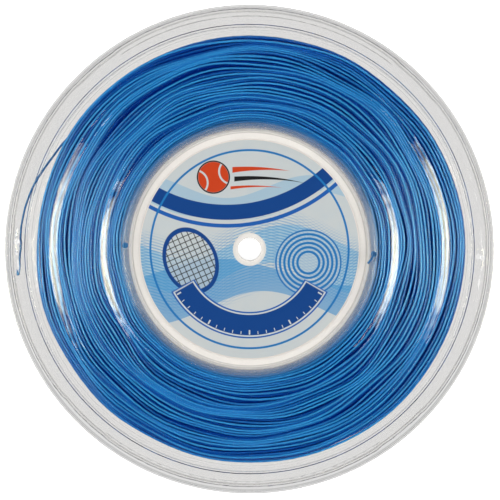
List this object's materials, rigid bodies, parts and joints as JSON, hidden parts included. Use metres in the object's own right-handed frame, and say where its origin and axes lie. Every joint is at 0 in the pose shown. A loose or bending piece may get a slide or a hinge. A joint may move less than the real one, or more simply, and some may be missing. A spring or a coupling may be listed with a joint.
{
  "type": "string reel",
  "caption": "Clear flanged reel full of blue racket string, with a dished hub, a round label, a plain centre bore and small holes that hold the string's ends.",
  "frame": {"origin": "on the bore's axis, at the level of the back rim that the reel lies on", "axes": "+Z along the bore, out of the label side; +Y towards the top of the label; +X to the right of the label"},
  "size_m": [0.255, 0.255, 0.028],
  "materials": {
    "clear_front": "clear polystyrene, polished",
    "clear_back": "clear polystyrene, polished",
    "label": "printed film, satin",
    "string": "drawn polyester, satin gloss",
    "string_end": "drawn polyester, satin gloss"
  },
  "bodies": {
    "root": {"front_half": "clear_front", "back_half": "clear_back", "front_label": "label", "string_core": "string", "string_winding": "string", "string_start": "string_end", "string_tail": "string_end"}
  },
  "joints": []
}
